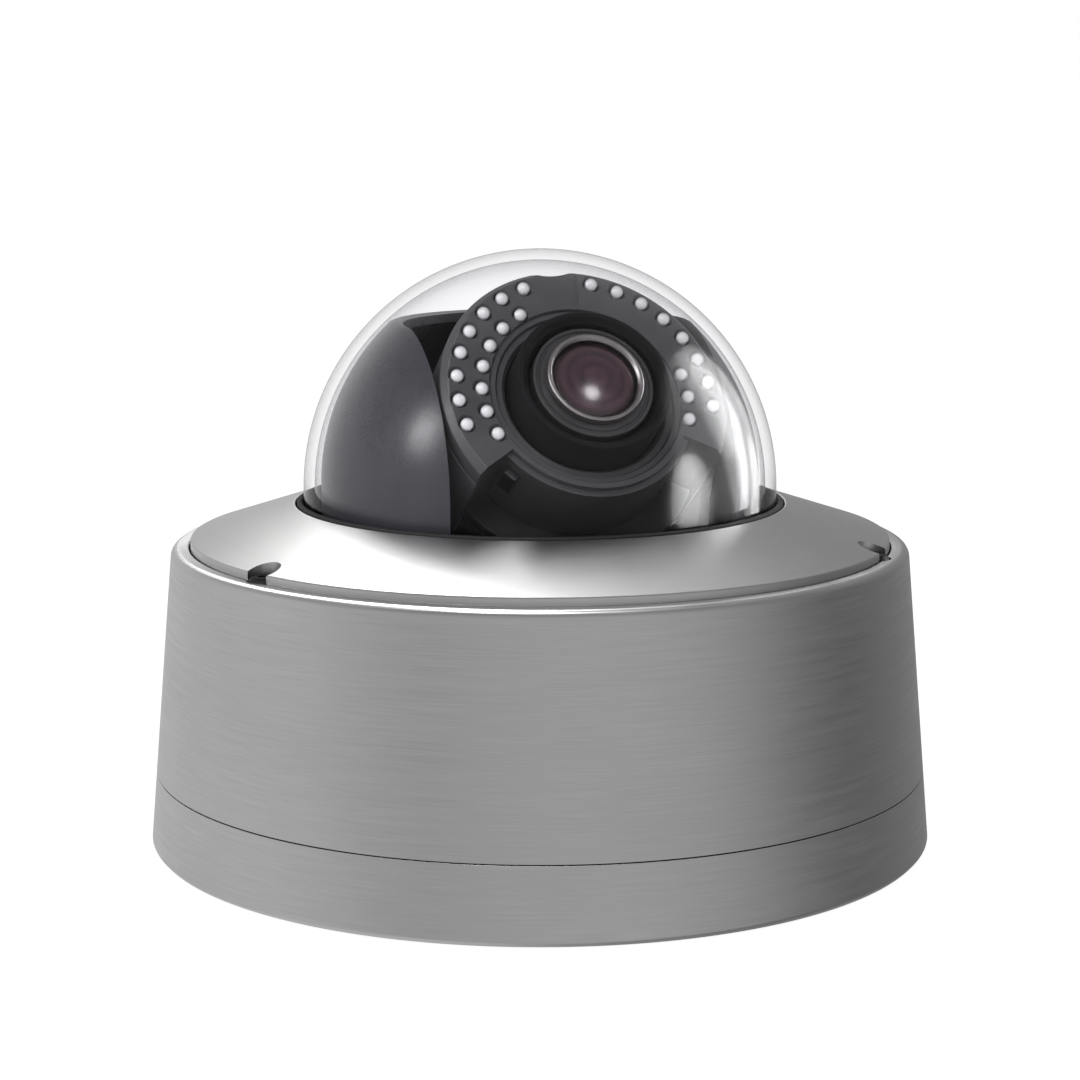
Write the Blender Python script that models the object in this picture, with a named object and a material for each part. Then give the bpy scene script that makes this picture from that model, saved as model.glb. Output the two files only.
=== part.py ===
"""Vandal-resistant dome camera: stainless housing, clear bubble, three-axis turret.

Metres, +Z up.  The origin is the centre of the round mounting face.  The
camera turret is stored turned PAN degrees about +Z, its lens TILT degrees
above the horizon and its wings ROLL degrees round the optical axis.
"""
import math

import bmesh
import bpy
from mathutils import Matrix, Vector

for old in list(bpy.data.objects):
    bpy.data.objects.remove(old, do_unlink=True)

MM = 0.001
GAP = 0.3                 # running gap between neighbouring pieces

# ---- housing ------------------------------------------------------------
BASE_R = 89.0             # widest radius, just above the mounting face
DRAFT = 0.0857            # radius lost per mm of height
SEAM_Z = 16.8             # top of the mounting base's outer lip
SHOULDER_Z = 65.5         # where the wall starts to round over
RIM_Z = 67.8              # top of the rim ring
RIM_R_IN = 79.35          # bore that the cover drops into
WALL = 3.2
FLOOR = 4.0
LEDGE_Z = 63.5            # seat of the cover gasket

# ---- cover and bubble ---------------------------------------------------
COVER_R = 79.0
COVER_EDGE_Z = 69.5       # top of the cover's upright edge
COVER_IN_R = 55.3
COVER_IN_Z = 77.05
HEAD_BORE = 3.7           # screw recess, open to the side of the cover
SCREW_R = 77.2            # pitch radius of the three cover screws
SCREW_ANGLES = (221.5, 341.5, 101.5)
BUBBLE_R = 53.5
BUBBLE_R_IN = 51.0
BUBBLE_Z = 80.3           # centre of the hemisphere

# ---- turret -------------------------------------------------------------
PAN = 18.8
TILT = 36.6
ROLL = 2.0
PIVOT_Z = 81.3
CHEEK_R = 49.5
SLOT = 32.6               # half the slot between the two cheeks
SLOT_END = -6.5           # centre of the rounded rear end of that slot
CHEEK_TOP = 117.8
CHEEK_FOOT = 45.3
WING_R = 32.0
FACE_L = 38.8             # wing face, measured along the optical axis
BARREL_R = 24.2           # round housing where there is no wing
WING_FROM, WING_TO = 11.5, 121.0
LED_R = 1.5
OUTER_ROW = [(28.6, 16.0 + 12.0 * k) for k in range(8)]
INNER_ROW = [(23.2, 26.0 + 13.9 * k) for k in range(7)]


def wall_r(z):
    """Outer radius of the tapered wall at height z."""
    return BASE_R + 0.1 - DRAFT * z


# ---- materials ----------------------------------------------------------
def material(name, rgb, rough, metal=0.0, alpha=1.0, trans=0.0):
    m = bpy.data.materials.new(name)
    m.use_nodes = True
    b = m.node_tree.nodes["Principled BSDF"]
    b.inputs["Base Color"].default_value = (*rgb, 1.0)
    b.inputs["Roughness"].default_value = rough
    b.inputs["Metallic"].default_value = metal
    b.inputs["Alpha"].default_value = alpha
    b.inputs["Transmission Weight"].default_value = trans
    return m


FINISHES = {
    "stainless": ((0.62, 0.62, 0.61), 0.32, 1.0),
    "screw_steel": ((0.20, 0.20, 0.21), 0.40, 1.0),
    "zinc_steel": ((0.55, 0.56, 0.58), 0.45, 1.0),
    "black_plastic": ((0.030, 0.030, 0.036), 0.45, 0.0),
    "gloss_black": ((0.040, 0.040, 0.050), 0.22, 0.0),
    "black_rubber": ((0.015, 0.015, 0.016), 0.75, 0.0),
    "board_green": ((0.02, 0.12, 0.05), 0.50, 0.0),
    "board_black": ((0.02, 0.02, 0.022), 0.50, 0.0),
    "lens_metal": ((0.60, 0.58, 0.58), 0.35, 1.0),
    "terminal_green": ((0.05, 0.35, 0.12), 0.45, 0.0),
    "button_white": ((0.75, 0.75, 0.73), 0.40, 0.0),
}


def finish(obj, slot):
    """Give the piece its own material, named after the piece."""
    if slot == "clear_dome":
        m = material(obj.name + "_mat", (0.95, 0.96, 0.97), 0.03, 0.0, 0.25, 1.0)
    elif slot == "lens_glass":
        m = material(obj.name + "_mat", (0.16, 0.08, 0.10), 0.05, 0.0, 1.0, 0.2)
    else:
        rgb, rough, metal = FINISHES[slot]
        m = material(obj.name + "_mat", rgb, rough, metal)
    me = obj.data
    me.materials.clear()
    me.materials.append(m)
    for p in me.polygons:
        p.material_index = 0
    me.shade_smooth()
    me.set_sharp_from_angle(angle=math.radians(32))


# ---- solid makers -------------------------------------------------------
def put(bm, name):
    bmesh.ops.recalc_face_normals(bm, faces=bm.faces[:])
    if bm.calc_volume(signed=True) < 0:
        bmesh.ops.reverse_faces(bm, faces=bm.faces[:])
    me = bpy.data.meshes.new(name)
    bm.to_mesh(me)
    bm.free()
    ob = bpy.data.objects.new(name, me)
    bpy.context.scene.collection.objects.link(ob)
    return ob


def turned_into(bm, prof, seg, mat=None, phase=0.0):
    """Revolve a closed (radius, height) outline about the local Z axis."""
    mat = mat or Matrix.Identity(4)
    rings = []
    for r, z in prof:
        if r < 1e-6:
            rings.append([bm.verts.new(mat @ Vector((0, 0, z * MM)))])
            continue
        ring = []
        for j in range(seg):
            a = 2 * math.pi * j / seg + phase
            ring.append(bm.verts.new(mat @ Vector(
                (r * MM * math.cos(a), r * MM * math.sin(a), z * MM))))
        rings.append(ring)
    n = len(prof)
    for k in range(n):
        a, b = rings[k], rings[(k + 1) % n]
        if len(a) == 1 and len(b) == 1:
            continue
        for j in range(seg):
            i = (j + 1) % seg
            if len(a) == 1:
                bm.faces.new((a[0], b[j], b[i]))
            elif len(b) == 1:
                bm.faces.new((a[j], b[0], a[i]))
            else:
                bm.faces.new((a[j], b[j], b[i], a[i]))


def turned(name, prof, seg=40, mat=None):
    bm = bmesh.new()
    turned_into(bm, prof, seg, mat)
    return put(bm, name)


def rod(r, z0, z1):
    return [(0, z0), (r, z0), (r, z1), (0, z1)]


def ring(r0, r1, z0, z1):
    return [(r0, z0), (r1, z0), (r1, z1), (r0, z1)]


def rods(name, items, seg=8):
    """Several separate cylinders in one mesh: (x, y, r, z0, z1) each."""
    bm = bmesh.new()
    for x, y, r, z0, z1 in items:
        turned_into(bm, rod(r, z0, z1), seg,
                    Matrix.Translation((x * MM, y * MM, 0)),
                    math.pi / seg)
    return put(bm, name)


def block(name, x0, x1, y0, y1, z0, z1):
    bm = bmesh.new()
    bmesh.ops.create_cube(bm, size=1.0)
    for v in bm.verts:
        v.co = Vector(((x0 + x1) / 2 + v.co.x * (x1 - x0),
                       (y0 + y1) / 2 + v.co.y * (y1 - y0),
                       (z0 + z1) / 2 + v.co.z * (z1 - z0))) * MM
    return put(bm, name)


def prism(name, pts, z0, z1):
    """Extrude a plane outline (mm) from z0 to z1."""
    bm = bmesh.new()
    low = [bm.verts.new((x * MM, y * MM, z0 * MM)) for x, y in pts]
    f = bm.faces.new(low)
    out = bmesh.ops.extrude_face_region(bm, geom=[f])
    for v in (g for g in out["geom"] if isinstance(g, bmesh.types.BMVert)):
        v.co.z = z1 * MM
    return put(bm, name)


def sector(r0, r1, a0, a1, steps):
    """Outline of an annular sector, angles in degrees."""
    out = []
    for k in range(steps + 1):
        a = math.radians(a0 + (a1 - a0) * k / steps)
        out.append((r1 * math.cos(a), r1 * math.sin(a)))
    for k in range(steps, -1, -1):
        a = math.radians(a0 + (a1 - a0) * k / steps)
        out.append((r0 * math.cos(a), r0 * math.sin(a)))
    return out


def combine(target, other, op):
    """Boolean the other solid into the target and drop it."""
    other.hide_render = True
    other.display_type = "WIRE"
    m = target.modifiers.new("join", "BOOLEAN")
    m.operation = op
    m.solver = "EXACT"
    m.object = other
    bpy.context.view_layer.update()
    dg = bpy.context.evaluated_depsgraph_get()
    me = bpy.data.meshes.new_from_object(target.evaluated_get(dg))
    target.modifiers.clear()
    target.data = me
    bpy.data.objects.remove(other, do_unlink=True)
    return target


def cut(target, other):
    return combine(target, other, "DIFFERENCE")


def join(target, other):
    return combine(target, other, "UNION")


def polar(r, deg):
    a = math.radians(deg)
    return r * math.cos(a), r * math.sin(a)


def along(axis, dist=0.0):
    """Matrix taking local Z onto a world direction, from the origin."""
    q = Vector((0, 0, 1)).rotation_difference(Vector(axis).normalized())
    return q.to_matrix().to_4x4() @ Matrix.Translation((0, 0, dist * MM))


def frame(name, parent, loc, rot):
    e = bpy.data.objects.new(name, None)
    bpy.context.scene.collection.objects.link(e)
    e.parent = parent
    e.location = loc
    e.rotation_euler = rot
    return e


PAN_AXIS = frame("pan_axis", None, (0, 0, 0), (0, 0, math.radians(PAN)))
TILT_AXIS = frame("tilt_axis", PAN_AXIS, (0, 0, PIVOT_Z * MM),
                  (math.radians(90 - TILT), 0, 0))
ROLL_AXIS = frame("roll_axis", TILT_AXIS, (0, 0, 0), (0, 0, math.radians(ROLL)))


def place(obj, parent, slot):
    obj.parent = parent
    finish(obj, slot)
    return obj


# ========================================================================
# Fixed housing
# ========================================================================
POSTS = [polar(62.0, a) for a in (30, 150, 270)]
BASE_SCREWS = [polar(78.8, a) for a in (40, 160, 280)]
MOUNT_HOLES = [(46, 46), (-46, 46), (-46, -46), (46, -46)]
BOARD_POSTS = [(43, 29), (-43, 29), (-43, -29), (43, -29)]
POWER_POSTS = [(26, 44), (-26, 44), (26, 64), (-26, 64)]

base = turned("mounting_base", [
    (13.3, 0), (BASE_R - 1.2, 0), (BASE_R - 0.35, 0.35), (BASE_R, 1.2),
    (wall_r(SEAM_Z), SEAM_Z), (86.7, SEAM_Z), (86.7, 15.0), (84.2, 15.0),
    (84.2, FLOOR), (13.3, FLOOR)])
join(base, rods("posts", [(x, y, 4.5, FLOOR - 1, 34.7) for x, y in POSTS]
                + [(x, y, 3.0, FLOOR - 1, 17.7) for x, y in BOARD_POSTS]
                + [(x, y, 3.0, FLOOR - 1, 13.7) for x, y in POWER_POSTS]))
cut(base, rods("holes", [(x, y, 2.5, -1, 6) for x, y in MOUNT_HOLES]
               + [(x, y, 1.9, -1, 6) for x, y in BASE_SCREWS]
               + [(x, y, 1.7, 26, 36) for x, y in POSTS]))
cut(base, rods("countersinks", [(x, y, 3.5, -1, 2.4) for x, y in BASE_SCREWS]))
place(base, None, "stainless")

place(turned("base_gasket", ring(84.5, 86.1, 15.3, 16.8)), None, "black_rubber")

z_top_in = LEDGE_Z - 3.0
housing = turned("housing_body", [
    (84.2, SEAM_Z + 0.2), (wall_r(SEAM_Z + 0.2), SEAM_Z + 0.2),
    (wall_r(SHOULDER_Z), SHOULDER_Z), (83.2, 66.4), (82.5, 67.25),
    (81.8, 67.65), (81.0, RIM_Z), (RIM_R_IN, RIM_Z), (RIM_R_IN, LEDGE_Z), (71.5, LEDGE_Z),
    (71.5, z_top_in), (wall_r(57) - WALL, 57.0), (wall_r(20) - WALL, 20.0)])
join(housing, rods("bosses", [(x, y, 4.4, 4.3, 58.6) for x, y in BASE_SCREWS], 16))
CONDUIT_Z = 38.0
back = Matrix.Translation((0, 0, CONDUIT_Z * MM)) @ along((0, 1, 0))
join(housing, turned("conduit_boss", rod(12.0, 73.0, 84.4), 24, back))
cut(housing, turned("conduit_hole", rod(9.0, 70.0, 90.0), 24, back))
cut(housing, rods("pilots", [(x, y, 1.7, 3, 16) for x, y in BASE_SCREWS]
                  + [(*polar(SCREW_R, a), 1.7, 58, 65) for a in SCREW_ANGLES]))
cut(housing, rods("scallops", [(*polar(SCREW_R, a), HEAD_BORE, 65.6, 70)
                               for a in SCREW_ANGLES], 24))
place(housing, None, "stainless")

for k, (x, y) in enumerate(BASE_SCREWS, 1):
    s = turned("base_screw_%d" % k, [
        (0, 0.3), (3.0, 0.3), (3.0, 2.1), (1.4, 2.1), (1.4, 14), (0, 14)], 12,
        Matrix.Translation((x * MM, y * MM, 0)))
    place(s, None, "screw_steel")

place(turned("cable_grommet", [
    (8.0, 0.4), (12.9, 0.4), (12.9, 4.3), (15.5, 4.3), (15.5, 6.3), (9.0, 8.5),
    (8.0, 8.5)], 20), None, "black_rubber")

plug = turned("conduit_plug", [(0, 72.5), (8.6, 72.5), (8.6, 84.9), (8.1, 85.4),
                               (0, 85.4)], 24, back)
cut(plug, turned("plug_key", rod(4.2, 81.0, 88.0), 6, back))
place(plug, None, "stainless")

chassis = turned("chassis_plate", ring(12.6, 70.0, 35.0, 37.0), 40)
cut(chassis, rods("chassis_holes", [(x, y, 1.7, 34, 38) for x, y in POSTS]))
cut(chassis, block("flex_slot", -9, 9, 24, 34, 34, 38))
place(chassis, None, "black_plastic")
for k, (x, y) in enumerate(POSTS, 1):
    s = turned("chassis_screw_%d" % k, [
        (0, 27), (1.4, 27), (1.4, 37.3), (3.0, 37.3), (3.0, 38.8), (2.2, 39.3),
        (0, 39.3)], 12, Matrix.Translation((x * MM, y * MM, 0)))
    place(s, None, "zinc_steel")
place(turned("pan_ring", ring(40.0, 48.0, 37.3, 41.7), 40), None, "black_plastic")

board = block("main_board", -47, 47, -33, 33, 18.0, 19.6)
join(board, block("processor", -9, 9, 4, 22, 19.4, 21.2))
join(board, block("memory_chip", 14, 24, 6, 20, 19.4, 20.8))
join(board, block("coil_chip", -30, -20, 8, 18, 19.4, 22.6))
place(board, None, "board_green")

power = block("power_board", -30, 30, 40, 68, 14.0, 15.6)
join(power, rods("capacitors", [(20, 60, 4.0, 15.3, 26.0), (-20, 60, 4.0, 15.3, 26.0)]))
place(power, None, "board_green")

jack = block("network_socket", -38, -22, -30, -9, 19.9, 33.0)
cut(jack, block("jack_mouth", -36, -24, -31, -17, 21.4, 29.4))
place(jack, None, "zinc_steel")

term = block("terminal_block", -10, 10, 42, 51, 15.9, 25.5)
cut(term, rods("terminal_screws", [(-6.6, 48, 1.5, 23.5, 26), (-2.2, 48, 1.5, 23.5, 26),
                                   (2.2, 48, 1.5, 23.5, 26), (6.6, 48, 1.5, 23.5, 26)], 8))
place(term, None, "terminal_green")

slot = block("card_slot", 22, 37, -32, -17, 19.9, 22.3)
cut(slot, block("card_bay", 23.8, 35.2, -33, -18.6, 20.3, 21.7))
place(slot, None, "zinc_steel")
card = prism("memory_card", [(24.1, -34.6), (34.9, -34.6), (34.9, -24.0),
                             (33.4, -22.0), (33.4, -19.6), (24.1, -19.6)], 20.6, 21.4)
place(card, None, "black_plastic")

switch = block("reset_switch", 0, 6, -30, -24, 19.9, 22.9)
cut(switch, rods("switch_bore", [(3, -27, 1.9, 21.0, 24)], 16))
place(switch, None, "zinc_steel")
place(turned("reset_button", [(0, 21.8), (1.5, 21.8), (1.5, 24.2), (1.2, 24.5), (0, 24.5)],
             16, Matrix.Translation((3 * MM, -27 * MM, 0))), None, "button_white")

# ========================================================================
# Lift-off cover with its bubble
# ========================================================================
cover = turned("dome_cover", [
    (72.0, 64.6), (COVER_R, 64.6), (COVER_R, COVER_EDGE_Z - 0.4),
    (COVER_R - 0.4, COVER_EDGE_Z), (COVER_IN_R + 0.4, COVER_IN_Z),
    (COVER_IN_R, COVER_IN_Z - 0.3), (COVER_IN_R, 73.6), (61.0, 73.6), (72.0, 69.2)])
HOLD = [polar(64.0, a) for a in (0, 120, 240)]
join(cover, rods("cover_bosses", [(x, y, 3.0, 69.9, 72.6) for x, y in HOLD], 16))
cut(cover, rods("cover_holes", [(x, y, 1.5, 69, 71.9) for x, y in HOLD]
                + [(*polar(SCREW_R, a), 1.7, 63, 67) for a in SCREW_ANGLES]))
cut(cover, rods("counterbores", [(*polar(SCREW_R, a), HEAD_BORE, 65.6, 76)
                                 for a in SCREW_ANGLES], 24))
place(cover, None, "stainless")
for k, a in enumerate(SCREW_ANGLES, 1):
    x, y = polar(SCREW_R, a)
    s = turned("cover_screw_%d" % k, [
        (0, 59.5), (1.3, 59.5), (1.3, 65.9), (3.3, 65.9), (3.3, 68.0), (2.6, 68.7),
        (0, 68.7)], 12, Matrix.Translation((x * MM, y * MM, 0)))
    cut(s, turned("driver_recess", rod(1.2, 67.4, 70), 6,
                  Matrix.Translation((x * MM, y * MM, 0))))
    place(s, None, "screw_steel")

place(turned("cover_gasket", ring(72.3, 75.0, 63.8, 64.3)), None, "black_rubber")

prof = [(51.0, 69.9), (60.5, 69.9), (60.5, 72.4), (BUBBLE_R, 72.4)]
STEPS = 7
for k in range(STEPS):
    a = math.pi / 2 * k / STEPS
    prof.append((BUBBLE_R * math.cos(a), BUBBLE_Z + BUBBLE_R * math.sin(a)))
prof.append((0, BUBBLE_Z + BUBBLE_R))
prof.append((0, BUBBLE_Z + BUBBLE_R_IN))
for k in range(STEPS - 1, -1, -1):
    a = math.pi / 2 * k / STEPS
    prof.append((BUBBLE_R_IN * math.cos(a), BUBBLE_Z + BUBBLE_R_IN * math.sin(a)))
place(turned("bubble", prof, 36), None, "clear_dome")

place(turned("bubble_gasket", [
    (53.8, 72.7), (60.3, 72.7), (60.3, 73.3), (55.0, 73.3), (55.0, 77.4),
    (53.8, 77.4)], 36), None, "black_rubber")

keep = turned("bubble_retainer", ring(53.9, 67.5, 67.2, 69.6), 36)
cut(keep, rods("retainer_holes", [(x, y, 1.5, 66, 71) for x, y in HOLD]))
place(keep, None, "black_plastic")
for k, (x, y) in enumerate(HOLD, 1):
    s = turned("retainer_screw_%d" % k, [
        (0, 65.0), (2.6, 65.0), (2.6, 66.9), (1.2, 66.9), (1.2, 71.4), (0, 71.4)], 12,
        Matrix.Translation((x * MM, y * MM, 0)))
    place(s, None, "zinc_steel")

# ========================================================================
# Pan stage: turntable, yoke and the two cheek shells
# ========================================================================
table = turned("turntable", [
    (9.0, 31.0), (12.0, 31.0), (12.0, 42.0), (49.6, 42.0), (49.6, 45.0), (9.0, 45.0)], 36)
cut(table, rods("table_holes", [(s * 26, 0, 1.7, 41, 46) for s in (-1, 1)]))
place(table, PAN_AXIS, "black_plastic")
place(turned("pan_retaining_ring", ring(12.4, 16.0, 32.8, 34.6), 24), PAN_AXIS, "zinc_steel")

yoke = block("pan_yoke", -35.7, 35.7, -14, 14, 45.3, 47.3)
for s in (-1, 1):
    x0, x1 = sorted((s * 33.2, s * 35.7))
    arm = block("arm", x0, x1, -14, 14, 46.0, 82.0)
    join(yoke, arm)
    eye = turned("eye", rod(14.0, 33.2, 35.7), 24,
                 Matrix.Translation((0, 0, PIVOT_Z * MM)) @ along((s, 0, 0)))
    join(yoke, eye)
    cut(yoke, turned("eye_hole", rod(3.4, 30.0, 40.0), 16,
                     Matrix.Translation((0, 0, PIVOT_Z * MM)) @ along((s, 0, 0))))
cut(yoke, rods("yoke_holes", [(s * 26, 0, 1.7, 44, 48) for s in (-1, 1)]))
cut(yoke, rods("yoke_wire_hole", [(0, 0, 9.0, 44, 48)], 24))
place(yoke, PAN_AXIS, "zinc_steel")
for k, s in enumerate((-1, 1), 1):
    b = turned("yoke_screw_%d" % k, [
        (0, 42.5), (1.4, 42.5), (1.4, 47.6), (2.8, 47.6), (2.8, 48.9), (2.0, 49.4),
        (0, 49.4)], 12, Matrix.Translation((s * 26 * MM, 0, 0)))
    place(b, PAN_AXIS, "zinc_steel")


def shell_profile():
    """Cheek section: upright foot, then part of a sphere, cut flat on top."""
    out = [(CHEEK_R - 2.0, CHEEK_FOOT), (CHEEK_R, CHEEK_FOOT), (CHEEK_R, PIVOT_Z)]
    h = CHEEK_TOP - PIVOT_Z
    top = math.asin(h / CHEEK_R)
    n = 5
    for k in range(1, n + 1):
        a = top * k / n
        out.append((CHEEK_R * math.cos(a), PIVOT_Z + CHEEK_R * math.sin(a)))
    r = CHEEK_R - 2.0
    h2 = h - 2.0
    top2 = math.asin(h2 / r)
    out.append((20.0, CHEEK_TOP))
    out.append((20.0, PIVOT_Z + h2))
    for k in range(n, 0, -1):
        a = top2 * k / n
        out.append((r * math.cos(a), PIVOT_Z + r * math.sin(a)))
    out.append((r, PIVOT_Z))
    return out


for name, s in (("cheek_left", -1), ("cheek_right", 1)):
    cheek = turned(name, shell_profile(), 36)
    x0, x1 = sorted((s * SLOT, -s * 60))
    cut(cheek, block("slot_front", x0, x1, -60, SLOT_END, 40, 140))
    x0, x1 = sorted((s * 0.2, -s * 60))
    cut(cheek, block("other_half", x0, x1, SLOT_END - 1, 60, 40, 140))
    cut(cheek, turned("slot_back", rod(SLOT, 40, 140), 32,
                      Matrix.Translation((0, SLOT_END * MM, 0))))
    place(cheek, PAN_AXIS, "gloss_black")

# ========================================================================
# Tilt stage: ring on two trunnions (local Z is the optical axis)
# ========================================================================
ringt = turned("tilt_ring", ring(23.1, 30.6, -11.5, 16.4), 24)
for s in (-1, 1):
    cut(ringt, turned("trunnion_hole", rod(3.3, 26.5, 34.0), 16, along((s, 0, 0))))
cut(ringt, turned("lock_hole", rod(1.8, 22.0, 34.0), 12,
                  Matrix.Translation((0, 0, -6 * MM)) @ along((0, 1, 0))))
place(ringt, TILT_AXIS, "black_plastic")
place(turned("tilt_pivot_pin", [
    (0, 27.0), (3.0, 27.0), (3.0, 36.2), (5.0, 36.2), (5.0, 37.6), (0, 37.6)], 16,
    along((-1, 0, 0))), TILT_AXIS, "zinc_steel")
place(turned("tilt_lock_screw", [
    (0, 27.0), (3.0, 27.0), (3.0, 36.2), (5.6, 36.2), (5.6, 39.6), (5.0, 40.2),
    (0, 40.2)], 16, along((1, 0, 0))), TILT_AXIS, "zinc_steel")
place(turned("roll_lock_screw", [
    (0, 23.6), (1.5, 23.6), (1.5, 31.7), (2.6, 31.7), (2.6, 33.0), (0, 33.0)], 12,
    Matrix.Translation((0, 0, -6 * MM)) @ along((0, 1, 0))), TILT_AXIS, "zinc_steel")

# ========================================================================
# Roll stage: turret with two crescent lamp wings and the lens
# ========================================================================
place(turned("turret_core", [
    (20.5, -14.0), (22.6, -14.0), (22.6, 17.0), (30.6, 17.0), (30.6, 19.9),
    (20.5, 19.9)], 24), ROLL_AXIS, "black_plastic")
place(turned("roll_retainer", ring(22.95, 27.0, -15.0, -12.4), 24), ROLL_AXIS, "black_plastic")
place(turned("rear_cover", ring(4.0, 22.0, -17.0, -14.3), 20), ROLL_AXIS, "black_plastic")

BACK_L = 20.2
SKIRT_L = 5.0             # rear edge of the thin skirt round the tilt ring
front = turned("turret_front", [
    (17.6, BACK_L), (WING_R - 1.1, BACK_L), (WING_R - 1.1, SKIRT_L), (WING_R, SKIRT_L),
    (WING_R, 37.1), (30.8, FACE_L), (20.6, FACE_L), (20.2, 38.0), (18.4, 38.0),
    (17.6, 37.2)], 40)
cut(front, prism("under_gap", sector(BARREL_R, 36.0, 90 + WING_TO, 450 - WING_TO, 10),
                 SKIRT_L - 1, FACE_L + 2))
for s in (-1, 1):
    a0, a1 = 90 + s * (WING_FROM + 0.5), 90 + s * (WING_TO - 2.8)
    if a0 > a1:
        a0, a1 = a1, a0
    cut(front, prism("wing_pocket", sector(20.6, 30.5, a0, a1, 12), BACK_L - 1, 36.6))
cut(front, prism("top_notch", sector(30.6, 36.0, 90 - 8, 90 + 8, 4), 33.0, FACE_L + 2))
LAMPS = {1: OUTER_ROW + INNER_ROW, -1: OUTER_ROW + INNER_ROW[4:]}
LEDS = {s: [(*polar(r, 90 + s * a),) for r, a in LAMPS[s]] for s in (-1, 1)}
cut(front, rods("lamp_holes", [(x, y, LED_R + 0.27, 35.0, 40.0)
                               for s in (-1, 1) for x, y in LEDS[s]], 8))
place(front, ROLL_AXIS, "black_plastic")

for name, s in (("ir_board_left", 1), ("ir_board_right", -1)):
    a0, a1 = sorted((90 + s * (WING_FROM + 1.2), 90 + s * (WING_TO - 3.6)))
    pcb = prism(name, sector(20.9, 30.2, a0, a1, 12), 33.2, 34.8)
    bm = bmesh.new()
    for x, y in LEDS[s]:
        turned_into(bm, [(0, 34.4), (LED_R, 34.4), (LED_R, 39.0), (0, 40.0)],
                    8, Matrix.Translation((x * MM, y * MM, 0)), math.pi / 8)
    join(pcb, put(bm, "lamps"))
    place(pcb, ROLL_AXIS, "board_black")

place(turned("lens_barrel", [
    (0, 10.0), (11.5, 10.0), (11.5, 34.2), (13.4, 34.4), (13.4, 44.0), (10.9, 44.2),
    (9.4, 44.2), (9.4, 42.0), (0, 42.0)], 24), ROLL_AXIS, "black_plastic")
place(turned("lens_hood", [
    (14.0, 34.6), (17.2, 34.6), (17.2, 40.0), (16.8, 45.0), (16.3, 45.4), (15.6, 45.4),
    (14.0, 43.0)], 24), ROLL_AXIS, "black_rubber")
place(turned("lens_bezel", [
    (9.4, 44.5), (10.7, 44.5), (10.7, 45.9), (10.4, 46.3), (9.9, 46.3), (9.4, 45.8)], 24),
    ROLL_AXIS, "lens_metal")
place(turned("front_lens", [
    (0, 42.3), (9.1, 42.3), (9.1, 44.7), (7.0, 45.5), (4.6, 46.1), (0, 46.6)],
    24), ROLL_AXIS, "lens_glass")
place(turned("lens_mount", ring(8.0, 19.8, 4.0, 9.7), 20), ROLL_AXIS, "black_plastic")
sensor = block("sensor_board", -13, 13, -13, 13, 2.1, 3.7)
join(sensor, block("sensor_chip", -4, 4, -3, 3, 3.5, 5.0))
place(sensor, ROLL_AXIS, "board_green")

for name, z0, z1, lever in (("zoom_ring", 12.8, 19.6, 45), ("focus_ring", 23.0, 31.0, 135)):
    g = turned(name, ring(11.9, 15.6, z0, z1), 20)
    lx, ly = polar(15.6, lever)
    join(g, rods("ring_lever", [(lx, ly, 1.2, (z0 + z1) / 2 - 1.2, (z0 + z1) / 2 + 1.2)], 10))
    place(g, ROLL_AXIS, "black_plastic")

place(prism("cable_clip", sector(24.4, 26.0, 215.0, 222.0, 3), 29.0, 35.0),
      ROLL_AXIS, "zinc_steel")
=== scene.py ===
"""Looks for the stainless vandal-resistant dome camera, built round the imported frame."""

import math

import bmesh
import bpy
from mathutils import Matrix, Vector


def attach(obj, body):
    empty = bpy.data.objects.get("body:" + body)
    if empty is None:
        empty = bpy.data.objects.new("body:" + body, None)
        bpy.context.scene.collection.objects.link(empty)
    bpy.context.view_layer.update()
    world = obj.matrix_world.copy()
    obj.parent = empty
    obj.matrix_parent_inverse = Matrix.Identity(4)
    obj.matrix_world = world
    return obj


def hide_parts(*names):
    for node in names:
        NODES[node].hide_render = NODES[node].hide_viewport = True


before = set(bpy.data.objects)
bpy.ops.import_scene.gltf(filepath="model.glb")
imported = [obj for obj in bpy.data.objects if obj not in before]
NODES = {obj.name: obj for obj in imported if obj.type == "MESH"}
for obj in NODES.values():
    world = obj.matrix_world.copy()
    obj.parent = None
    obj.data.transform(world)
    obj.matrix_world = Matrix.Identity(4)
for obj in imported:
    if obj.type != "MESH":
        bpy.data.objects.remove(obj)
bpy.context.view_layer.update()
MM = 0.001

# ------------------------------------------------------------------ sizes
BASE_R, DRAFT, SEAM_Z, SHOULDER_Z, RIM_Z = 89.0, 0.0857, 16.8, 65.5, 67.8
COVER_R, COVER_EDGE_Z, COVER_IN_R, COVER_IN_Z = 79.0, 69.5, 55.3, 77.05
SCREW_R, HEAD_BORE, SCREW_ANGLES = 77.2, 3.7, (221.5, 341.5, 101.5)
BUBBLE_R, BUBBLE_R_IN, BUBBLE_Z = 53.5, 51.0, 80.3
PAN, TILT, ROLL, PIVOT_Z = 18.8, 36.6, 2.0, 81.3
CHEEK_R, SLOT, CHEEK_TOP, CHEEK_FOOT = 49.5, 32.6, 117.8, 45.3
WING_R, FACE_L, BARREL_R, BACK_L, SKIRT_L = 32.0, 38.8, 24.2, 20.2, 5.0
WING_FROM, WING_TO, LED_R = 11.5, 121.0, 1.5
SLOT_END = -6.5
OUTER_ROW = [(28.6, 16.0 + 12.0 * k) for k in range(8)]
INNER_ROW = [(23.2, 26.0 + 13.9 * k) for k in range(7)]

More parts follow.
